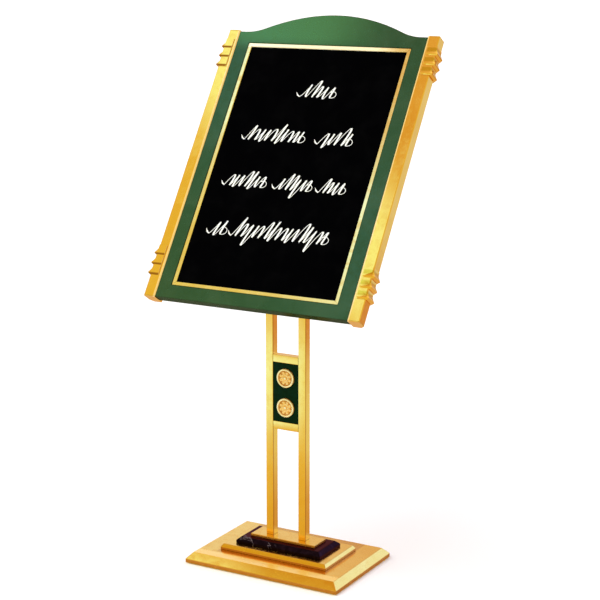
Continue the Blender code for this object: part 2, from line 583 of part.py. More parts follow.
clear_scene()
EASEL = collection("display_easel")
CUTTERS = collection("cutters")
MATERIALS = {
    "pad_rubber": material("pad_rubber", (0.03, 0.03, 0.03), 0.80, 0.0),
    "gold_plate": material("gold_plate", (0.83, 0.60, 0.22), 0.16, 1.0),
    "gold_post": material("gold_post", (0.85, 0.62, 0.20), 0.14, 1.0),
    "gold_rail": material("gold_rail", (0.86, 0.62, 0.18), 0.16, 1.0),
    "gold_trim": material("gold_trim", (0.87, 0.76, 0.40), 0.20, 1.0),
    "gold_relief": material("gold_relief", (0.84, 0.66, 0.36), 0.24, 1.0),
    "dark_stone": material("dark_stone", (0.015, 0.012, 0.020), 0.12, 0.0),
    "dark_panel": material("dark_panel", (0.004, 0.020, 0.010), 0.18, 0.0),
    "green_paint": material("green_paint", (0.060, 0.170, 0.085), 0.20, 0.0),
    "black_sheet": material("black_sheet", (0.004, 0.004, 0.005), 0.60, 0.0),
    "plain_wood": material("plain_wood", (0.45, 0.31, 0.18), 0.65, 0.0),
    "steel": material("steel", (0.58, 0.58, 0.60), 0.32, 1.0),
    "fibre": material("fibre", (0.10, 0.07, 0.05), 0.75, 0.0),
    "black_knob": material("black_knob", (0.015, 0.015, 0.016), 0.35, 0.0),
}
POST_FOOT, BASE_FOOT = build_base()
for SIDE, SIGN in SIDES:
    build_post(SIDE, SIGN, POST_FOOT, BASE_FOOT)
build_crossbars()
build_frame()
build_trim()
build_rails()
build_panels()
build_pivot()
build_turn_buttons()
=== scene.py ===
import bpy
import bmesh
import json
import math
from mathutils import Matrix, Vector


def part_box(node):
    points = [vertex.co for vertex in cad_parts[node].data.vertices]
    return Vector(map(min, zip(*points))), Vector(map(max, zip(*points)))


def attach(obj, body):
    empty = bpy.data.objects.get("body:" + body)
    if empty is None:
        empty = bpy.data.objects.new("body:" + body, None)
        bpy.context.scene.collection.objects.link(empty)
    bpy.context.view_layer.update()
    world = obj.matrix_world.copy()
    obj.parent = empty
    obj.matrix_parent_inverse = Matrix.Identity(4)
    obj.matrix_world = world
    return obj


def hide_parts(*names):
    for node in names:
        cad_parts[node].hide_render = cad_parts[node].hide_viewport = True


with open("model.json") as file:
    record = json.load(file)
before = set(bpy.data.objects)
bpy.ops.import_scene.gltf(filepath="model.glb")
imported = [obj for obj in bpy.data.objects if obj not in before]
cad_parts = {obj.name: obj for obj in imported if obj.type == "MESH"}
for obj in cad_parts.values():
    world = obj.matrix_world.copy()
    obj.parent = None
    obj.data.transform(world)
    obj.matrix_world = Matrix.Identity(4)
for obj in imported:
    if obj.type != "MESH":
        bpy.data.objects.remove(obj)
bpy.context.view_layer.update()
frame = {"nodes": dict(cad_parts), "record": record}
NODES = frame["nodes"]

# Camera: where it stands, its heading and its downward pitch in degrees, and its lens in millimetres
CAMERA_AT = (1.9899, -3.4497, 1.5669)
CAMERA_YAW, CAMERA_PITCH, CAMERA_LENS = 29.5364, 12.4307, 98.03

# Board frame: x across, y depth towards the back, z up along the board
TILT = math.radians(33.4)
PIVOT = Vector((0.0, 0.0, 0.8894))
PIVOT_DEPTH, PIVOT_ALONG = 0.0580, 0.2579
BOARD = (Matrix.Translation(PIVOT) @ Matrix.Rotation(-TILT, 4, "X")
         @ Matrix.Translation((0.0, -PIVOT_DEPTH, -PIVOT_ALONG)))

# Green frame, with the rails and collars beside it, in the board frame
FRAME_HALF, FRAME_T, SHOULDER, PEAK = 0.2690, 0.0260, 0.7520, 0.8070
ARCH_BLEND, ARCH_END, ARCH_STEPS = 0.195, 0.250, 160
OPEN_HALF, OPEN_LOW, OPEN_HIGH = 0.2332, 0.0350, 0.7202
FRAME_ROUND, FRAME_ROUND_STEPS = 0.0030, 5
RAIL_IN, COLLAR_IN = 0.2693, 0.2778
FLARE_FOOT, FLARE_PITCH = 0.0551, 0.0269

# Rosettes: radii and heights over the panel they sit on
ROSETTE_R, ROSETTE_RIM, ROSETTE_FIELD = 0.0248, 0.0054, 0.0016
ROSETTE_SPOKES, ROSETTE_RINGS = 192, 72
RIM_IN, RIM_MIDDLE, RIM_HALF = 0.0192, 0.0219, 0.0029
BEADS, BEAD_MIDDLE, BEAD_HALF, BEAD_H = 24, 0.0182, 0.0009, 0.0003
PETALS = 8
OUTER_PETALS = (0.0040, 0.0180, 0.0026, 0.0)               # inner and outer radius, height, turn
INNER_PETALS = (0.0026, 0.0112, 0.0034, math.pi / PETALS)
EYE_R, EYE_H, EYE_DOME, EYE_LOBES, EYE_LOBE_H = 0.0036, 0.0030, 0.0012, 9, 0.0003

# Flourishes: white pen strokes on the black sheet
SHEET_FRONT = 0.0040
STROKE_T, STROKE_SINK, STROKE_END_W = 0.00045, 0.00010, 0.0004
STROKE_SLANT, STROKE_PITCH, STROKE_W, HAIRLINE_W = 0.50, 0.0158, 0.0047, 0.0014
STROKE_STEPS, TAIL_STEPS = 22, 14
LEAD_IN = ((-0.011, 0.30), (-0.006, 0.10))                 # across from the wave, share of its height

# Rows of flourishes: foot of the wave along the board, its height, and the stretches between gaps
ROWS = (
    (0.574, 0.040, ((-0.040, 0.044),)),
    (0.446, 0.041, ((-0.160, 0.000), (0.050, 0.130))),
    (0.317, 0.040, ((-0.176, -0.072), (-0.030, 0.058), (0.092, 0.150))),
    (0.183, 0.044, ((-0.176, -0.146), (-0.112, 0.146))),
)

# Key light: strength, width in degrees, and the way it shines; and half a side of the floor
KEY_STRENGTH, KEY_WIDTH, KEY_AIM = 1.60, 60.0, (0.45, 0.55, -1.0)
FLOOR_HALF = 60.0

# Room that the metal mirrors: its light in front and behind, the shaded ceiling in front, a light
# strip up there, a light band and a dusky one around the stand, and the low part of the walls
ROOM_FRONT, ROOM_BACK = (0.84, 0.76, 0.36), (0.76, 0.58, 0.44)
UPPER_SHADE = (0.69, 0.44, 0.11)
STRIP_ACROSS, STRIP_LIGHT = (0.671, 0.3456, 0.656), (0.20, 0.85, 2.40)
BAND_LIGHT, BAND_LEFT_LIGHT = (0.06, 0.34, 0.55), (0.08, 0.46, 2.60)
DUSK = (0.66, 0.38, 0.26)
LOW_FRONT, LOW_BACK, LOW_DARK = (0.80, 0.64, 0.26), (0.66, 0.46, 0.28), (0.52, 0.34, 0.20)

# Where these lie, by the parts of a ray's unit direction: where each fades in and where it is full
TOWARD_FRONT, TOWARD_BACK, FRONT_TO_BACK = (0.10, -0.30), (0.45, 0.70), (-0.35, 0.50)
UPPER, OFF_STRIP = (0.58, 0.74), (0.022, 0.058)
STRIP_MIDDLE, STRIP_EDGE = -0.002, (0.044, 0.014)
DUSK_MIDDLE, DUSK_EDGE = -0.222, (0.032, 0.012)
BAND_MIDDLE, BAND_DROP, BAND_EDGE, BAND_LEFT = -0.262, 0.030, (0.050, 0.010), (-0.43, -0.50)
LOW_TOP, LOW_DARKENS, LOW_FOOT = (-0.295, -0.345), (-0.350, -0.385), (-0.48, -0.41)

# Soft boxes: direction, degrees of full strength, degrees where it ends, added light
SOFT_BOXES = (
    ((0.40, 0.83, 0.40), 9, 22, (0.17, 0.78, 2.95)),
    ((-0.60, 0.71, 0.36), 5, 14, (0.16, 0.48, 0.90)),
    ((-0.81, 0.57, 0.08), 10, 24, (-0.24, -0.08, 0.10)),
    ((0.44, 0.90, -0.13), 5, 10, (0.03, 0.28, 0.66)),
    ((0.00, 0.10, 1.00), 10, 50, (0.35, 0.50, 0.95)),
    ((0.85, -0.42, 0.05), 16, 40, (-0.30, -0.36, -0.16)),
    ((-0.47, -0.70, 0.54), 7, 12, (-0.34, -0.44, -0.14)),
    ((-0.90, -0.40, 0.10), 12, 34, (0.10, 0.30, 0.50)),
)

# Polished gold in its two tones, and how finely its polishing grain repeats along each axis
GOLD_DEEP, GOLD_PALE = (0.94, 0.54, 0.072), (0.97, 0.585, 0.092)
UP_GRAIN, ACROSS_GRAIN = (700.0, 700.0, 14.0), (14.0, 700.0, 700.0)

# Colour of the sheen on everything that is not bare metal
WARM_SHEEN = (1.0, 0.72, 0.42)

# Share of the stone's gloss that keeps its plum tint at a grazing angle
STONE_GLOSS = 0.75

# Creases that stay sharp, in degrees: on most pieces, and on the collars with their flat fronts
CREASE, COLLAR_CREASE = 38.0, 28.0


# ---------------------------------------------------------------- stage

def make_camera():
    data = bpy.data.cameras.new("camera")
    data.sensor_width, data.lens = 36.0, CAMERA_LENS
    camera = bpy.data.objects.new("camera", data)
    yaw, pitch = math.radians(CAMERA_YAW), math.radians(CAMERA_PITCH)
    aim = Vector((-math.sin(yaw) * math.cos(pitch), math.cos(yaw) * math.cos(pitch), -math.sin(pitch)))
    camera.location = CAMERA_AT
    camera.rotation_mode = "QUATERNION"
    camera.rotation_quaternion = aim.to_track_quat("-Z", "Y")
    bpy.context.scene.collection.objects.link(camera)
    bpy.context.scene.camera = camera


def node(tree, kind, inputs=None, **settings):
    """Add a shader node; an input is a value or another node's output."""
    made = tree.nodes.new(kind)
    for name, value in settings.items():
        setattr(made, name, value)
    for key, value in (inputs or {}).items():
        if isinstance(value, bpy.types.NodeSocket):
            tree.links.new(value, made.inputs[key])
        else:
            made.inputs[key].default_value = value
    return made


def arithmetic(tree, operation, *values):
    return node(tree, "ShaderNodeMath", dict(enumerate(values)), operation=operation).outputs[0]


def smooth_step(tree, value, start, end, low=0.0, high=1.0):
    """`low` before `start`, `high` after `end`, and a smooth turn between them."""
    inputs = {"Value": value, "From Min": start, "From Max": end, "To Min": low, "To Max": high}
    return node(tree, "ShaderNodeMapRange", inputs, interpolation_type="SMOOTHSTEP").outputs[0]


def mix_colour(tree, factor, first, second, blend="MIX"):
    made = node(tree, "ShaderNodeMix", {0: factor, 6: first, 7: second}, data_type="RGBA", blend_type=blend)
    return made.outputs[2]


def rgb(red, green, blue):
    return (red, green, blue, 1.0)


def along(tree, direction, axis):
    unit = Vector(axis).normalized()
    made = node(tree, "ShaderNodeVectorMath", {0: direction, 1: tuple(unit)}, operation="DOT_PRODUCT")
    return made.outputs["Value"]


def belt(tree, value, middle, outer, inner):
    """1 within `inner` of the middle, 0 beyond `outer` of it."""
    off = arithmetic(tree, "ABSOLUTE", arithmetic(tree, "SUBTRACT", value, middle))
    return smooth_step(tree, off, outer, inner)


def upper_room(tree, room, ray, upper_front):
    """Shaded ceiling in front, the soft boxes, and the light strip across the ceiling."""
    off_strip = along(tree, ray, STRIP_ACROSS)
    shade = arithmetic(tree, "MULTIPLY", upper_front, smooth_step(tree, off_strip, *OFF_STRIP))
    room = mix_colour(tree, shade, room, rgb(*UPPER_SHADE))
    for direction, inside, outside, colour in SOFT_BOXES:
        spread = along(tree, ray, direction)
        weight = smooth_step(tree, spread, math.cos(math.radians(outside)), math.cos(math.radians(inside)))
        room = mix_colour(tree, weight, room, rgb(*colour), "ADD")
    strip = arithmetic(tree, "MULTIPLY", belt(tree, off_strip, STRIP_MIDDLE, *STRIP_EDGE), upper_front)
    return mix_colour(tree, strip, room, rgb(*STRIP_LIGHT), "ADD")


def lower_room(tree, room, x, y, z, front):
    """Bands around the stand below eye level, and the low part of the walls under them."""
    back = smooth_step(tree, y, *TOWARD_BACK)
    dusk = arithmetic(tree, "MULTIPLY", belt(tree, z, DUSK_MIDDLE, *DUSK_EDGE), back)
    room = mix_colour(tree, dusk, room, rgb(*DUSK))

    middle = arithmetic(tree, "SUBTRACT", BAND_MIDDLE, arithmetic(tree, "MULTIPLY", back, BAND_DROP))
    band = belt(tree, z, middle, *BAND_EDGE)
    room = mix_colour(tree, band, room, rgb(*BAND_LIGHT), "ADD")
    leftward = arithmetic(tree, "MULTIPLY", smooth_step(tree, x, *BAND_LEFT), front)
    band_left = arithmetic(tree, "MULTIPLY", band, leftward)
    room = mix_colour(tree, band_left, room, rgb(*BAND_LEFT_LIGHT), "ADD")

    walls = mix_colour(tree, smooth_step(tree, y, *FRONT_TO_BACK), rgb(*LOW_FRONT), rgb(*LOW_BACK))
    walls = mix_colour(tree, smooth_step(tree, z, *LOW_DARKENS), walls, rgb(*LOW_DARK))
    low = arithmetic(tree, "MULTIPLY", smooth_step(tree, z, *LOW_TOP), smooth_step(tree, z, *LOW_FOOT))
    return mix_colour(tree, low, room, walls)


def make_world():
    """A pale studio, warmer in front, with soft boxes and bands that the metal mirrors."""
    world = bpy.data.worlds.new("studio")
    bpy.context.scene.world = world
    world.use_nodes = True
    tree = world.node_tree
    tree.nodes.clear()
    ray = node(tree, "ShaderNodeTexCoord").outputs["Generated"]
    x, y, z = node(tree, "ShaderNodeSeparateXYZ", {0: ray}).outputs
    front = smooth_step(tree, y, *TOWARD_FRONT)
    upper_front = arithmetic(tree, "MULTIPLY", smooth_step(tree, z, *UPPER), front)
    room = mix_colour(tree, smooth_step(tree, y, *FRONT_TO_BACK), rgb(*ROOM_FRONT), rgb(*ROOM_BACK))
    room = upper_room(tree, room, ray, upper_front)
    room = lower_room(tree, room, x, y, z, front)

    seen = node(tree, "ShaderNodeLightPath").outputs["Is Camera Ray"]
    lit = node(tree, "ShaderNodeBackground", {"Color": room, "Strength": 1.0})
    plain = node(tree, "ShaderNodeBackground", {"Color": rgb(1, 1, 1), "Strength": 1.0})
    both = node(tree, "ShaderNodeMixShader", {0: seen, 1: lit.outputs[0], 2: plain.outputs[0]})
    node(tree, "ShaderNodeOutputWorld", {"Surface": both.outputs[0]})


def make_key_light():
    data = bpy.data.lights.new("key", "SUN")
    data.energy = KEY_STRENGTH
    data.angle = math.radians(KEY_WIDTH)
    key = bpy.data.objects.new("key", data)
    key.rotation_mode = "QUATERNION"
    key.rotation_quaternion = Vector(KEY_AIM).to_track_quat("-Z", "Y")
    key.visible_glossy = False
    bpy.context.scene.collection.objects.link(key)


def make_floor():
    bm = bmesh.new()
    bmesh.ops.create_grid(bm, x_segments=1, y_segments=1, size=FLOOR_HALF)
    floor = bpy.data.objects.new("floor", bpy.data.meshes.new("floor"))
    bm.to_mesh(floor.data)
    bm.free()
    look = bpy.data.materials.new("floor")
    look.use_nodes = True
    shader = look.node_tree.nodes["Principled BSDF"]
    shader.inputs["Base Color"].default_value = rgb(0.96, 0.98, 1.00)
    shader.inputs["Roughness"].default_value = 0.9
    shader.inputs["Specular IOR Level"].default_value = 0.0
    floor.data.materials.append(look)
    floor.visible_glossy = False
    bpy.context.scene.collection.objects.link(floor)


# ---------------------------------------------------------------- materials

class Look:
    """One procedural material: a Principled shader and the patterns that feed it."""

    def __init__(self, name, roughness, metallic=0.0, specular=0.5, coat=0.0, on_board=False):
        self.material = bpy.data.materials.new(name)
        self.material.use_nodes = True
        self.tree = self.material.node_tree
        self.shader = self.tree.nodes["Principled BSDF"]
        settings = {"Roughness": roughness, "Metallic": metallic, "Specular IOR Level": specular,
                    "Coat Weight": coat, "Coat Roughness": 0.08, "Coat Tint": rgb(*WARM_SHEEN)}
        for socket, value in settings.items():
            self.feed(socket, value)
        if metallic == 0.0:
            self.feed("Specular Tint", rgb(*WARM_SHEEN))
        self.place = node(self.tree, "ShaderNodeTexCoord").outputs["Object"]
        if on_board:
            shift = BOARD.inverted().translation
            inputs = {"Vector": self.place, "Location": shift, "Rotation": (TILT, 0.0, 0.0)}
            self.place = node(self.tree, "ShaderNodeMapping", inputs).outputs[0]
        self.relief = None

    def noise(self, scale, detail=3.0, roughness=0.5, distortion=0.0, stretch=(1.0, 1.0, 1.0)):
        """Noise with about `scale` features a metre; `stretch` multiplies that along each axis."""
        place = self.place
        if stretch != (1.0, 1.0, 1.0):
            place = node(self.tree, "ShaderNodeMapping", {"Vector": place, "Scale": stretch}).outputs[0]
        inputs = {"Vector": place, "Scale": scale, "Detail": detail, "Roughness": roughness,
                  "Distortion": distortion}
        return node(self.tree, "ShaderNodeTexNoise", inputs).outputs[0]

    def ramp(self, value, start, end, low=0.0, high=1.0):
        return smooth_step(self.tree, value, start, end, low, high)

    def mix(self, factor, first, second):
        return mix_colour(self.tree, factor, first, second)

    def maths(self, operation, *values):
        return arithmetic(self.tree, operation, *values)

    def times(self, first, *factors):
        """Product of masks and numbers."""
        for factor in factors:
            first = self.maths("MULTIPLY", first, factor)
        return first

    def belt(self, value, middle, outer, inner):
        return belt(self.tree, value, middle, outer, inner)

    def axis(self, index):
        return node(self.tree, "ShaderNodeSeparateXYZ", {0: self.place}).outputs[index]

    def reach(self):
        """Distance from the middle plane, to either side."""
        return self.maths("ABSOLUTE", self.axis(0))

    def facing(self):
        """Direction that the face looks in: across, in depth and up."""
        normal = node(self.tree, "ShaderNodeNewGeometry").outputs["True Normal"]
        return node(self.tree, "ShaderNodeSeparateXYZ", {0: normal}).outputs

    def colour(self, value):
        self.feed("Base Color", value)

    def lay(self, mask, colour):
        """Lay a colour over the present one where the mask is 1."""
        present = self.shader.inputs["Base Color"].links[0].from_socket
        self.colour(self.mix(mask, present, rgb(*colour)))

    def dull(self, share):
        """Turn that share of the metal into a body that shows light from every side."""
        self.feed("Metallic", self.maths("SUBTRACT", 1.0, share))

    def feed(self, socket, value):
        if isinstance(value, bpy.types.NodeSocket):
            self.tree.links.new(value, self.shader.inputs[socket])
        else:
            self.shader.inputs[socket].default_value = value

    def bump(self, height, distance, strength=1.0):
        """Stack a bump whose full height is `distance` metres."""
        inputs = {"Height": height, "Distance": distance, "Strength": strength}
        if self.relief is not None:
            inputs["Normal"] = self.relief
        self.relief = node(self.tree, "ShaderNodeBump", inputs).outputs[0]
        self.tree.links.new(self.relief, self.shader.inputs["Normal"])

    def edges(self, radius):
        """1 on a convex or concave edge, 0 on the flat, over about `radius` metres."""
        rounded = node(self.tree, "ShaderNodeBevel", {"Radius": radius}, samples=4).outputs[0]
        flat = node(self.tree, "ShaderNodeNewGeometry").outputs["Normal"]
        both = node(self.tree, "ShaderNodeVectorMath", {0: rounded, 1: flat}, operation="DOT_PRODUCT")
        return self.ramp(both.outputs["Value"], 0.995, 0.86)


def gold(name, deep, pale, roughness, grain, on_board=False):
    """Polished plating: slow tone drift, smudges in the gloss, and a faint polishing grain."""
    look = Look(name, roughness, metallic=1.0, on_board=on_board)
    drift = look.ramp(look.noise(9.0, 3.0, 0.55, 0.4), 0.36, 0.66)
    look.colour(look.mix(drift, rgb(*deep), rgb(*pale)))
    smudge = look.ramp(look.noise(55.0, 5.0, 0.62, 0.8), 0.40, 0.72, 0.75 * roughness, 1.50 * roughness)
    look.feed("Roughness", smudge)
    look.bump(look.noise(13.0, 1.0), 0.0004, 0.22)
    look.bump(look.noise(1.0, 4.0, 0.6, stretch=grain), 0.00002, 0.28)
    return look


def gold_plate():
    """Plate gold with painted shade: upright sides painted brown, front slopes painted deeper on the step and
    to the right, edges and creases painted darker.

    The base plate's top has a painted reflection of the step, a darker band along its foot, and a painted
    highlight along its front.
    """
    look = gold("gold_plate", GOLD_DEEP, GOLD_PALE, 0.20, ACROSS_GRAIN)
    step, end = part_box("step_plate")
    _, depth, rise = look.facing()
    # Painted shade: slopes that face forward and up are darker on the step and to the right
    slope = look.times(look.ramp(depth, -0.30, -0.50), look.ramp(rise, 0.30, 0.50))
    on_step = look.ramp(look.axis(2), step.z, step.z + 0.002)
    place = look.maths("MAXIMUM", look.ramp(look.axis(0), -0.11, 0.03), on_step)
    look.lay(look.times(slope, place), (0.79, 0.37, 0.022))
    # Painted shade: upright sides painted dark brown and made partly matte
    side = look.ramp(look.maths("ABSOLUTE", rise), 0.35, 0.10)
    look.lay(look.times(side, 0.88), (0.54, 0.185, 0.018))

    base_level = look.ramp(look.axis(2), step.z + 0.004, step.z + 0.002)
    top = look.times(look.ramp(rise, 0.90, 0.97), base_level)
    beside = look.ramp(look.reach(), end.x + 0.006, end.x - 0.002)
    # Painted shade: the step's reflection as a darker band on the plate's top in front of its foot
    foot = look.times(top, beside, look.ramp(look.axis(1), step.y - 0.022, step.y - 0.012))
    # Painted highlight: a pale, partly matte band along the plate's front
    painted_front_highlight = look.times(top, look.ramp(look.axis(1), step.y - 0.018, step.y - 0.026))
    look.lay(look.times(foot, 0.60), (0.62, 0.250, 0.014))
    look.lay(painted_front_highlight, (0.93, 0.60, 0.130))
    # Painted shade along the edges and in the creases
    look.lay(look.times(look.edges(0.0032), 0.90), (0.42, 0.150, 0.008))
    look.dull(look.maths("MAXIMUM", look.times(side, 0.40), look.times(painted_front_highlight, 0.70)))
    return look


def gold_post():
    """Post gold with painted shade at its corners, at the crossbars' joints and down the front of its sides.
    """
    look = gold("gold_post", GOLD_DEEP, GOLD_PALE, 0.085, UP_GRAIN)
    across = look.facing()[0]
    sideways = look.ramp(look.maths("ABSOLUTE", across), 0.50, 0.80)
    # Painted shade: a darker line down the front of each side face, and darker corners and joints
    painted_side_shade = look.times(sideways, look.ramp(look.axis(1), -0.0066, -0.0090), 0.80)
    look.lay(look.maths("MAXIMUM", look.edges(0.0016), painted_side_shade), (0.58, 0.25, 0.020))
    return look


def paint_pale_highlight(look, mask, colour):
    """Paint a highlight where the mask is 1: a pale colour on the plating that shows light from every side.
    """
    look.lay(mask, colour)
    look.dull(look.times(mask, 0.80))
    return look


def gold_collar():
    """Collar gold with painted shade under the flares' lips on the left and in their hollows on the right."""
    look = gold("gold_collar", GOLD_DEEP, GOLD_PALE, 0.10, UP_GRAIN, on_board=True)
    rise = look.maths("DIVIDE", look.maths("SUBTRACT", look.axis(2), FLARE_FOOT), FLARE_PITCH)
    within_flare = look.maths("FRACT", rise)
    left = look.ramp(look.axis(0), 0.10, -0.10)
    right = look.maths("SUBTRACT", 1.0, left)
    # Painted shade in the hollows of the flares on the right
    look.lay(look.times(look.belt(within_flare, 0.56, 0.30, 0.12), right), (0.72, 0.43, 0.030))
    # Painted shade under the flares' lips on the left
    look.lay(look.times(look.ramp(within_flare, 0.25, 0.13), left, 0.92), (0.36, 0.135, 0.012))
    # Painted highlight: a pale line along the collars' inner edge
    inner_edge = look.ramp(look.reach(), COLLAR_IN + 0.0004, COLLAR_IN + 0.0001)
    return paint_pale_highlight(look, inner_edge, (0.92, 0.66, 0.24))


def gold_rail():
    """Rail gold with a painted highlight: a pale line along the inner edge, beside the green frame."""
    look = gold("gold_rail", GOLD_DEEP, GOLD_PALE, 0.10, UP_GRAIN, on_board=True)
    # Painted highlight along the rail's inner edge, on its front
    near_edge = look.ramp(look.reach(), RAIL_IN + 0.0052, RAIL_IN + 0.0034)
    in_front = look.ramp(look.axis(1), 0.0006, -0.0006)
    return paint_pale_highlight(look, look.times(near_edge, in_front), (0.92, 0.66, 0.26))


def gold_trim():
    """Pale gold, with a painted highlight that makes it almost white along the top strip except towards its
    right-hand end.
    """
    look = gold("gold_trim", (0.92, 0.67, 0.21), (0.97, 0.76, 0.28), 0.16, UP_GRAIN, on_board=True)
    # Painted highlight on the top strip, fading out towards its right-hand end
    high = look.ramp(look.axis(2), 0.7070, 0.7095)
    leftward = look.ramp(look.axis(0), 0.235, 0.120)
    return paint_pale_highlight(look, look.times(high, leftward), (0.98, 0.90, 0.62))


def gold_relief():
    """Cast relief: painted shade darkens its hollows and a painted highlight makes its petals and rim pale.
    """
    look = Look("gold_relief", 0.26, metallic=0.62)
    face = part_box("rosette_upper")[1].y
    height = look.maths("SUBTRACT", face, look.axis(1))
    fine = look.times(look.maths("SUBTRACT", look.noise(420.0, 4.0, 0.6), 0.5), 0.0016)
    level = look.maths("ADD", height, fine)
    # Painted shade: darker the lower the relief lies
    look.colour(look.mix(look.ramp(level, 0.0012, 0.0030), rgb(0.58, 0.265, 0.050), rgb(0.96, 0.59, 0.165)))
    # Painted highlight on the highest parts of the relief
    look.lay(look.ramp(level, 0.0030, 0.0050), (1.0, 0.91, 0.57))
    look.feed("Roughness", look.ramp(level, 0.0010, 0.0050, 0.46, 0.22))
    look.bump(look.noise(1400.0, 3.0, 0.6), 0.0002, 0.6)
    return look


def green_lacquer():
    """Pearly green lacquer with a painted highlight at the crown's left, and painted shade along its edges.
    """
    look = Look("green_lacquer", 0.24, metallic=0.75, coat=0.04, on_board=True)
    look.feed("Specular Tint", rgb(0.16, 0.30, 0.14))
    drift = look.ramp(look.noise(9.0, 4.0, 0.6, 0.6), 0.35, 0.68)
    look.colour(look.mix(drift, rgb(0.034, 0.092, 0.040), rgb(0.050, 0.112, 0.054)))
    # Painted highlight: lighter green at the crown's left
    high, across = look.ramp(look.axis(2), 0.690, 0.745), look.axis(0)
    crown = look.times(high, look.ramp(across, 0.190, -0.060), look.ramp(across, -0.290, -0.190, 0.75, 1.0))
    look.lay(crown, (0.076, 0.225, 0.082))
    # Painted shade along the frame's edges
    look.lay(look.edges(0.0028), (0.018, 0.030, 0.006))
    look.feed("Roughness", look.ramp(look.noise(70.0, 4.0, 0.6), 0.35, 0.70, 0.20, 0.28))
    look.bump(look.noise(240.0, 2.0, 0.4), 0.00008, 0.22)
    look.bump(look.noise(12.0, 1.0), 0.0005, 0.16)
    return look


def black_sheet():
    look = Look("black_sheet", 0.78, specular=0.0, on_board=True)
    grain = look.noise(1800.0, 3.0, 0.6)
    cloud = look.ramp(look.noise(14.0, 4.0, 0.6), 0.40, 0.75)
    look.colour(look.mix(cloud, rgb(0.0007, 0.0007, 0.0010), rgb(0.0016, 0.0016, 0.0020)))
    look.feed("Roughness", look.ramp(grain, 0.3, 0.7, 0.66, 0.80))
    look.bump(grain, 0.00008, 0.5)
    return look


def post_panel():
    look = Look("post_panel", 0.20, metallic=0.75, specular=0.15)
    cloud = look.ramp(look.noise(40.0, 4.0, 0.6), 0.38, 0.70)
    look.colour(look.mix(cloud, rgb(0.0014, 0.0135, 0.0016), rgb(0.0024, 0.0190, 0.0026)))
    look.feed("Roughness", look.ramp(look.noise(90.0, 4.0, 0.6), 0.35, 0.70, 0.16, 0.26))
    look.bump(look.noise(300.0, 2.0, 0.4), 0.0001, 0.25)
    return look


def dark_stone():
    """Polished near-black stone with plum clouds and a few light veins."""
    look = Look("dark_stone", 0.10, metallic=STONE_GLOSS, specular=0.11)
    look.feed("Specular Tint", rgb(0.80, 0.42, 0.30))
    cloud = look.ramp(look.noise(34.0, 6.0, 0.65, 1.2), 0.42, 0.70)
    look.colour(look.mix(cloud, rgb(0.0058, 0.0024, 0.0046), rgb(0.0140, 0.0062, 0.0120)))
    drift = look.noise(13.0, 5.0, 0.6, 1.6, stretch=(-1.0, 1.4, 1.2))
    patches = look.ramp(look.noise(11.0, 2.0, stretch=(-1.0, 1.0, 1.0)), 0.46, 0.58)
    vein = look.times(look.belt(drift, 0.5, 0.012, 0.001), patches)
    look.lay(vein, (0.170, 0.135, 0.165))
    look.feed("Metallic", look.ramp(vein, 0.0, 0.5, STONE_GLOSS, 0.0))
    look.lay(look.ramp(look.noise(420.0, 3.0, 0.7), 0.66, 0.74, 0.0, 0.5), (0.060, 0.050, 0.068))
    look.feed("Roughness", look.ramp(look.noise(60.0, 4.0), 0.35, 0.70, 0.09, 0.17))
    look.bump(look.noise(700.0, 3.0), 0.00004, 0.2)
    return look


def plain_wood():
    """Bare board with its grain running up the board."""
    look = Look("plain_wood", 0.62, specular=0.3, on_board=True)
    sweep = look.noise(5.0, 3.0, 0.5, 0.5, stretch=(3.0, 3.0, 0.35))
    rings = look.maths("FRACT", look.times(sweep, 17.0))
    late = look.times(look.ramp(rings, 0.15, 0.85), look.ramp(rings, 1.0, 0.88))
    pores = look.noise(1.0, 4.0, 0.65, stretch=(900.0, 900.0, 22.0))
    look.colour(look.mix(late, rgb(0.330, 0.210, 0.112), rgb(0.215, 0.122, 0.058)))
    look.lay(look.ramp(pores, 0.45, 0.72, 0.0, 0.55), (0.120, 0.070, 0.036))
    look.feed("Roughness", look.ramp(pores, 0.3, 0.7, 0.54, 0.72))
    look.bump(pores, 0.00015, 0.5)
    return look


def steel():
    look = Look("steel", 0.30, metallic=1.0)
    cloud = look.ramp(look.noise(160.0, 4.0, 0.6), 0.35, 0.70)
    look.colour(look.mix(cloud, rgb(0.50, 0.50, 0.51), rgb(0.63, 0.63, 0.64)))
    look.feed("Roughness", look.ramp(look.noise(420.0, 3.0), 0.35, 0.70, 0.24, 0.38))
    look.bump(look.noise(1.0, 3.0, stretch=(2600.0, 300.0, 300.0)), 0.00003, 0.4)
    return look


def rubber():
    look = Look("pad_rubber", 0.82, specular=0.25)
    grain = look.noise(900.0, 3.0, 0.6)
    dust = look.ramp(look.noise(70.0, 5.0, 0.7), 0.50, 0.80, 0.0, 0.6)
    look.colour(look.mix(dust, rgb(0.020, 0.020, 0.021), rgb(0.060, 0.057, 0.052)))
    look.feed("Roughness", look.ramp(grain, 0.3, 0.7, 0.75, 0.90))
    look.bump(grain, 0.0002, 0.6)
    return look


def fibre():
    look = Look("fibre", 0.75, specular=0.3)
    strands = look.noise(1.0, 4.0, 0.7, stretch=(600.0, 2400.0, 2400.0))
    look.colour(look.mix(look.ramp(strands, 0.4, 0.7), rgb(0.070, 0.042, 0.026), rgb(0.150, 0.095, 0.060)))
    look.feed("Roughness", look.ramp(strands, 0.3, 0.7, 0.68, 0.84))
    look.bump(strands, 0.0001, 0.5)
    return look


def black_knob():
    look = Look("black_knob", 0.36, specular=0.45)
    grain = look.noise(1500.0, 3.0, 0.6)
    look.colour(look.mix(look.edges(0.0016), rgb(0.012, 0.012, 0.013), rgb(0.032, 0.031, 0.030)))
    look.feed("Roughness", look.ramp(grain, 0.35, 0.68, 0.32, 0.46))
    look.bump(grain, 0.00006, 0.5)
    return look


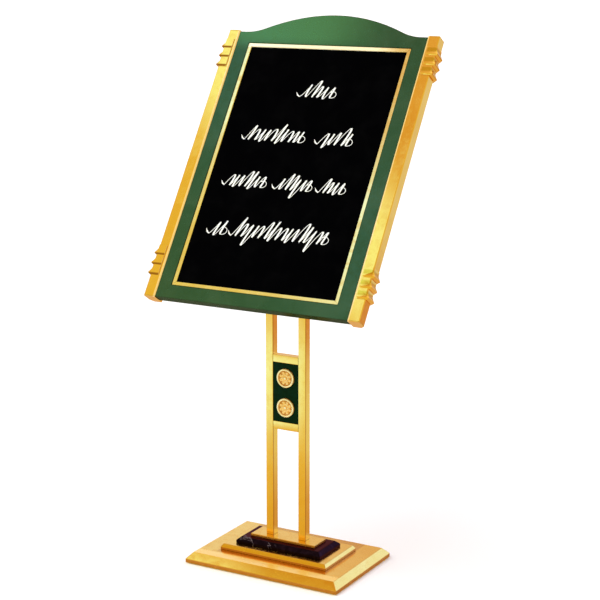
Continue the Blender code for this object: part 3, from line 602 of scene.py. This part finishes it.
def white_ink():
    look = Look("white_ink", 0.48, specular=0.4, on_board=True)
    patch = look.ramp(look.noise(160.0, 4.0, 0.65), 0.36, 0.66)
    look.colour(look.mix(patch, rgb(0.86, 0.91, 0.98), rgb(0.92, 0.97, 1.00)))
    look.feed("Roughness", look.ramp(look.noise(600.0, 3.0), 0.3, 0.7, 0.40, 0.58))
    look.bump(look.noise(500.0, 3.0), 0.00005, 0.5)
    return look


# ---------------------------------------------------------------- CAD nodes

def smooth_shading(crease):
    """Modifier tree: join the facets' shared corners, then shade smooth except over `crease` degrees."""
    tree = bpy.data.node_groups.new("smooth_shading", "GeometryNodeTree")
    tree.interface.new_socket("Geometry", in_out="INPUT", socket_type="NodeSocketGeometry")
    tree.interface.new_socket("Geometry", in_out="OUTPUT", socket_type="NodeSocketGeometry")
    start = node(tree, "NodeGroupInput").outputs[0]
    joined = node(tree, "GeometryNodeMergeByDistance", {"Geometry": start, "Distance": 0.00001}).outputs[0]
    dropped = {"Geometry": joined, "Name": "custom_normal"}
    plain = node(tree, "GeometryNodeRemoveAttribute", dropped).outputs[0]
    smooth = node(tree, "GeometryNodeSetShadeSmooth", {0: plain, 2: True}, domain="FACE").outputs[0]
    angle = node(tree, "GeometryNodeInputMeshEdgeAngle").outputs["Unsigned Angle"]
    limit = {0: angle, 1: math.radians(crease)}
    sharp = node(tree, "FunctionNodeCompare", limit, data_type="FLOAT").outputs[0]
    creases = {0: smooth, 1: sharp, 2: False}
    edged = node(tree, "GeometryNodeSetShadeSmooth", creases, domain="EDGE").outputs[0]
    node(tree, "NodeGroupOutput", {"Geometry": edged})
    return tree


def dress(obj, look, shading):
    obj.data.materials.clear()
    obj.data.materials.append(look.material)
    change = obj.modifiers.new("smooth_shading", "NODES")
    change.node_group = shading
    weigh = obj.modifiers.new("flat_faces_stay_flat", "WEIGHTED_NORMAL")
    weigh.mode = "FACE_AREA"
    weigh.keep_sharp = True


# ---------------------------------------------------------------- pieces

def keep(bm, name, look, body, place=None):
    """Store a bmesh as a piece that rides on a body."""
    bmesh.ops.recalc_face_normals(bm, faces=bm.faces)
    mesh = bpy.data.meshes.new(name)
    bm.to_mesh(mesh)
    bm.free()
    if place is not None:
        mesh.transform(place)
    mesh.materials.append(look.material)
    mesh.shade_smooth()
    piece = bpy.data.objects.new(name, mesh)
    bpy.context.scene.collection.objects.link(piece)
    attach(piece, body)
    return piece


def outline_slab(outlines, front, back):
    """Closed slab over an outline and its openings, drawn in x and z, from depth front to back."""
    data = bpy.data.curves.new("outline", "CURVE")
    data.dimensions = "2D"
    data.fill_mode = "BOTH"
    data.extrude = (back - front) / 2
    for points in outlines:
        spline = data.splines.new("POLY")
        spline.points.add(len(points) - 1)
        for point, (x, z) in zip(spline.points, points):
            point.co = (x, z, 0.0, 1.0)
        spline.use_cyclic_u = True
    holder = bpy.data.objects.new("outline", data)
    mesh = bpy.data.meshes.new_from_object(holder)
    bm = bmesh.new()
    bm.from_mesh(mesh)
    bpy.data.objects.remove(holder)
    bpy.data.curves.remove(data)
    bpy.data.meshes.remove(mesh)
    bmesh.ops.remove_doubles(bm, verts=bm.verts, dist=1e-6)
    stand = Matrix.Translation((0.0, (front + back) / 2, 0.0)) @ Matrix.Rotation(math.pi / 2, 4, "X")
    bmesh.ops.transform(bm, verts=bm.verts, matrix=stand)
    return bm


def arch_height(x):
    """Top edge of the board: a shallow crown that flows into level shoulders."""
    reach = abs(x)
    crown = (PEAK - SHOULDER) / (ARCH_BLEND * ARCH_END)
    if reach <= ARCH_BLEND:
        return PEAK - crown * reach ** 2
    blend = crown * ARCH_BLEND / (ARCH_END - ARCH_BLEND)
    return SHOULDER + blend * max(0.0, ARCH_END - reach) ** 2


def make_green_frame(look):
    """One lacquered frame in place of the four lengths that it is joined from."""
    outline = [(-FRAME_HALF, 0.0), (FRAME_HALF, 0.0), (FRAME_HALF, SHOULDER)]
    for step in range(ARCH_STEPS + 1):
        x = ARCH_END - 2 * ARCH_END * step / ARCH_STEPS
        outline.append((x, arch_height(x)))
    outline.append((-FRAME_HALF, SHOULDER))
    opening = [(-OPEN_HALF, OPEN_LOW), (-OPEN_HALF, OPEN_HIGH), (OPEN_HALF, OPEN_HIGH), (OPEN_HALF, OPEN_LOW)]
    bm = outline_slab([outline, opening], 0.0, FRAME_T)
    piece = keep(bm, "green_frame", look, "board", BOARD)
    rounded = piece.modifiers.new("rounded_edges", "BEVEL")
    rounded.width = FRAME_ROUND
    rounded.segments = FRAME_ROUND_STEPS
    rounded.limit_method = "ANGLE"
    rounded.angle_limit = math.radians(30.0)
    rounded.harden_normals = True
    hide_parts("frame_top", "frame_bottom", "frame_stile_left", "frame_stile_right")


def petal(radius, angle, inner, outer, height, turn):
    """Height of a ring of petals: domed across, swelling towards the tip, with a midrib groove."""
    if not inner < radius < outer:
        return 0.0
    reach = (radius - inner) / (outer - inner)
    half_sector = math.pi / PETALS
    across = (angle + turn) % (2 * half_sector) / half_sector - 1.0
    width = 0.96 * math.sin(math.pi * min(1.0, 0.10 + 0.86 * reach)) ** 0.55
    if abs(across) >= width:
        return 0.0
    dome = math.sqrt(1.0 - (across / width) ** 2)
    rib = 0.22 * math.exp(-(across / 0.10) ** 2) * math.sin(math.pi * reach)
    return height * (0.45 + 0.55 * reach) * (dome - rib) * min(1.0, 6.0 * (1.0 - reach) + 0.35)


def rosette_height(radius, angle):
    """Height of the cast face over its back: rolled rim, hollow field, two rings of petals and an eye."""
    if radius > RIM_IN:
        roll = (radius - RIM_MIDDLE) / RIM_HALF
        return ROSETTE_FIELD + (ROSETTE_RIM - ROSETTE_FIELD) * math.sqrt(max(0.0, 1.0 - roll * roll))
    bead = BEAD_H * math.cos(BEADS * angle) * math.exp(-((radius - BEAD_MIDDLE) / BEAD_HALF) ** 2)
    eye = 0.0
    if radius < EYE_R:
        eye = EYE_H + EYE_DOME * math.sqrt(1.0 - (radius / EYE_R) ** 2)
        eye += EYE_LOBE_H * math.cos(EYE_LOBES * angle) * (radius / EYE_R)
    flower = max(petal(radius, angle, *OUTER_PETALS), petal(radius, angle, *INNER_PETALS), eye)
    return ROSETTE_FIELD + bead + flower


def make_rosette(name, look):
    low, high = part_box(f"rosette_{name}")
    centre = (low + high) / 2
    bm = bmesh.new()
    rings = []
    for ring in range(1, ROSETTE_RINGS + 1):
        radius = ROSETTE_R * ring / ROSETTE_RINGS
        row = []
        for spoke in range(ROSETTE_SPOKES):
            angle = math.tau * spoke / ROSETTE_SPOKES
            height = rosette_height(radius, angle)
            row.append(bm.verts.new((radius * math.cos(angle), -height, radius * math.sin(angle))))
        rings.append(row)
    foot = [bm.verts.new((vert.co.x, 0.0, vert.co.z)) for vert in rings[-1]]
    rings.append(foot)
    middle = bm.verts.new((0.0, -rosette_height(0.0, 0.0), 0.0))
    for spoke in range(ROSETTE_SPOKES):
        after = (spoke + 1) % ROSETTE_SPOKES
        bm.faces.new((middle, rings[0][spoke], rings[0][after]))
        for inner, outer in zip(rings, rings[1:]):
            bm.faces.new((inner[spoke], outer[spoke], outer[after], inner[after]))
    bm.faces.new(foot)
    piece = keep(bm, f"rosette_relief_{name}", look, "stand",
                 Matrix.Translation((centre.x, high.y, centre.z)))
    piece.data.set_sharp_from_angle(angle=math.radians(60.0))
    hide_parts(f"rosette_{name}")


def ribbon(bm, path, widths, front, back):
    """Closed flat ribbon along a path of (x, z) in the board frame."""
    left, right = [], []
    for index, (x, z) in enumerate(path):
        before = path[max(0, index - 1)]
        after = path[min(len(path) - 1, index + 1)]
        run = Vector((after[0] - before[0], after[1] - before[1])).normalized()
        half = widths[index] / 2
        left.append((x - run.y * half, z + run.x * half))
        right.append((x + run.y * half, z - run.x * half))
    loop = left + right[::-1]
    count = len(loop)
    top = [bm.verts.new((x, front, z)) for x, z in loop]
    base = [bm.verts.new((x, back, z)) for x, z in loop]
    for index in range(count):
        after = (index + 1) % count
        bm.faces.new((top[index], top[after], base[after], base[index]))
    for ring in (top, base):
        for index in range(len(path) - 1):
            far = count - 1 - index
            bm.faces.new((ring[index], ring[index + 1], ring[far - 1], ring[far]))


def pen_stroke(before, top, after, swing):
    """One stroke up from the height `before` to `top` and down to `after`: advances (0 to 1) and heights."""
    points = []
    for step in range(STROKE_STEPS):
        turn = math.tau * step / STROKE_STEPS
        low = before if turn < math.pi else after
        advance = turn / math.tau + swing * math.sin(turn) / math.tau
        points.append((advance, low + (top - low) * (0.5 - 0.5 * math.cos(turn))))
    return points


def tail(at, foot, height):
    """Closing sweep of a pen wave: out to the right, up, and curled over to the left."""
    points = []
    for step in range(TAIL_STEPS + 1):
        turn = -math.pi / 2 + 1.25 * math.pi * step / TAIL_STEPS
        reach = height * (0.26 - 0.08 * step / TAIL_STEPS)
        across = at + 0.004 + 1.25 * reach * math.cos(turn)
        points.append((across, foot + 0.26 * height + reach * math.sin(turn)))
    return points


def pen_widths(path):
    """Width of the pen stroke at each point: broad on the way down, a hairline on the way up."""
    widths = []
    for index in range(len(path)):
        before, beyond = path[max(0, index - 1)], path[min(len(path) - 1, index + 1)]
        run = Vector((beyond[0] - before[0], beyond[1] - before[1])).normalized()
        press = max(0.0, -run.y) ** 1.2
        widths.append(HAIRLINE_W + (STROKE_W - HAIRLINE_W) * press)
    widths[0] = widths[-1] = STROKE_END_W
    return widths


def swell(phase, sharpness):
    """0 for half of each turn of the phase, and a hump up to 1 for the other half."""
    return max(0.0, math.sin(phase)) ** sharpness


def pen_wave(bm, left, right, foot, height, phase):
    """Slanting pen wave that swells and sinks, with a few strokes reaching below its foot."""
    count = max(2, round((right - left) / STROKE_PITCH))
    lows = [-0.55 * height * swell(phase + 1.7 * index, 8) for index in range(count + 1)]
    lows[0] = lows[-1] = 0.0
    path = [(left + across, foot + share * height) for across, share in LEAD_IN]
    at = left
    for index in range(count):
        top = height * (0.74 + 0.44 * swell(phase - 1.1 + 1.1 * index, 2))
        pitch = (right - left) / count * (1.0 + 0.22 * math.sin(1.3 * phase + 4.1 * index))
        swing = 0.90 * math.sin(phase + 1.9 * index)
        for advance, rise in pen_stroke(lows[index], top, lows[index + 1], swing):
            path.append((at + pitch * advance + STROKE_SLANT * rise, foot + rise))
        at += pitch
    path += tail(at, foot, height)
    ribbon(bm, path, pen_widths(path), SHEET_FRONT - STROKE_T, SHEET_FRONT + STROKE_SINK)


def make_flourishes(look):
    for number, (foot, height, stretches) in enumerate(ROWS, start=1):
        bm = bmesh.new()
        for order, (left, right) in enumerate(stretches):
            pen_wave(bm, left, right, foot, height, 1.7 * number + 2.3 * order)
        keep(bm, f"flourish_row_{number}", look, "board", BOARD).data.shade_flat()


make_camera()
make_world()
make_key_light()
make_floor()
bpy.context.scene.view_settings.view_transform = "Standard"

GREEN = green_lacquer()
RELIEF = gold_relief()
LOOKS = {
    "pad_rubber": rubber(),
    "gold_plate": gold_plate(),
    "gold_post": gold_post(),
    "gold_rail": gold_rail(),
    "gold_trim": gold_trim(),
    "gold_relief": RELIEF,
    "dark_stone": dark_stone(),
    "dark_panel": post_panel(),
    "green_paint": GREEN,
    "black_sheet": black_sheet(),
    "plain_wood": plain_wood(),
    "steel": steel(),
    "fibre": fibre(),
    "black_knob": black_knob(),
}
COLLAR = gold_collar()
ROUNDED, CRISP = smooth_shading(CREASE), smooth_shading(COLLAR_CREASE)
for part in frame["record"]["subparts"]:
    if part["node"].startswith("rail_collar"):
        dress(NODES[part["node"]], COLLAR, CRISP)
    else:
        dress(NODES[part["node"]], LOOKS[part["material_slot"]], ROUNDED)
make_green_frame(GREEN)
for level in ("lower", "upper"):
    make_rosette(level, RELIEF)
make_flourishes(white_ink())
